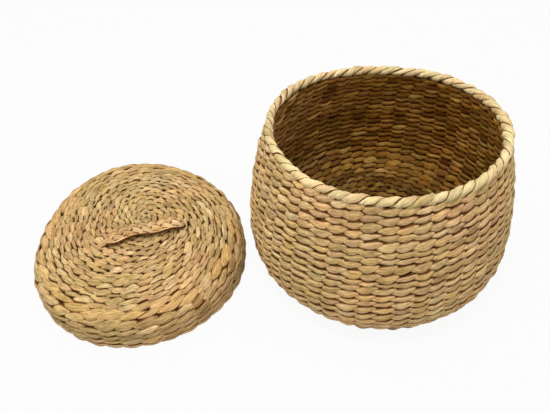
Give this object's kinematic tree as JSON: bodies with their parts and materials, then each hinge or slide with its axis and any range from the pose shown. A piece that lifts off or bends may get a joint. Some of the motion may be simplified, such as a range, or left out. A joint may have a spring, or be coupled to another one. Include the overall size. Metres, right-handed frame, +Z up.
{
  "type": "round twined basket with loose lid",
  "caption": "Round bulging basket twined from dried water hyacinth stalks, with a rolled rope border and a loose domed lid with a low plaited handle, set down beside it.",
  "frame": {"origin": "centre of the underside of the basket's base, on the floor that basket and lid stand on", "axes": "+Z up along the basket's axis, -X towards the lid that lies beside it"},
  "size_m": [0.5052, 0.2678, 0.1575],
  "materials": {
    "floor_weft": "matte",
    "wall_weft": "matte",
    "back_strands": "matte",
    "stakes": "matte",
    "border": "matte",
    "lid_weft": "matte",
    "lid_ridge": "matte",
    "handle": "matte"
  },
  "bodies": {
    "basket": {"base_weft_start": "floor_weft", "base_course_01": "floor_weft", "base_course_02": "floor_weft", "base_course_03": "floor_weft", "base_course_04": "floor_weft", "base_course_05": "floor_weft", "base_course_06": "floor_weft", "base_course_07": "floor_weft", "base_course_08": "floor_weft", "base_course_09": "floor_weft", "base_course_10": "floor_weft", "base_course_11": "floor_weft", "base_course_12": "floor_weft", "wall_course_01": "wall_weft", "wall_course_02": "wall_weft", "wall_course_03": "wall_weft", "wall_course_04": "wall_weft", "wall_course_05": "wall_weft", "wall_course_06": "wall_weft", "wall_course_07": "wall_weft", "wall_course_08": "wall_weft", "wall_course_09": "wall_weft", "wall_course_10": "wall_weft", "wall_course_11": "wall_weft", "wall_course_12": "wall_weft", "wall_course_13": "wall_weft", "wall_course_14": "wall_weft", "wall_course_15": "wall_weft", "wall_course_16": "wall_weft", "wall_course_17": "wall_weft", "wall_course_18": "wall_weft", "wall_course_19": "wall_weft", "base_back_strands": "back_strands", "wall_back_strands": "back_strands", "basket_stakes": "stakes", "rim_border": "border"},
    "lid": {"lid_weft_start": "lid_weft", "lid_top_course_01": "lid_weft", "lid_top_course_02": "lid_weft", "lid_top_course_03": "lid_weft", "lid_top_course_04": "lid_weft", "lid_top_course_05": "lid_weft", "lid_top_course_06": "lid_weft", "lid_top_course_07": "lid_weft", "lid_top_course_08": "lid_weft", "lid_top_course_09": "lid_weft", "lid_top_course_10": "lid_weft", "lid_top_course_11": "lid_weft", "lid_top_course_12": "lid_weft", "lid_ridge_course": "lid_ridge", "lid_side_course_01": "lid_weft", "lid_side_course_02": "lid_weft", "lid_side_course_03": "lid_weft", "lid_side_course_04": "lid_weft", "lid_edge_border": "lid_weft", "lid_top_back_strands": "back_strands", "lid_side_back_strands": "back_strands", "lid_stakes": "stakes", "lid_handle_plait": "handle"}
  },
  "joints": [
    {"name": "lid_lift", "type": "slide", "parent": "basket", "child": "lid", "axis": [0, 0, 1], "range_m": [0, 0.2]}
  ]
}
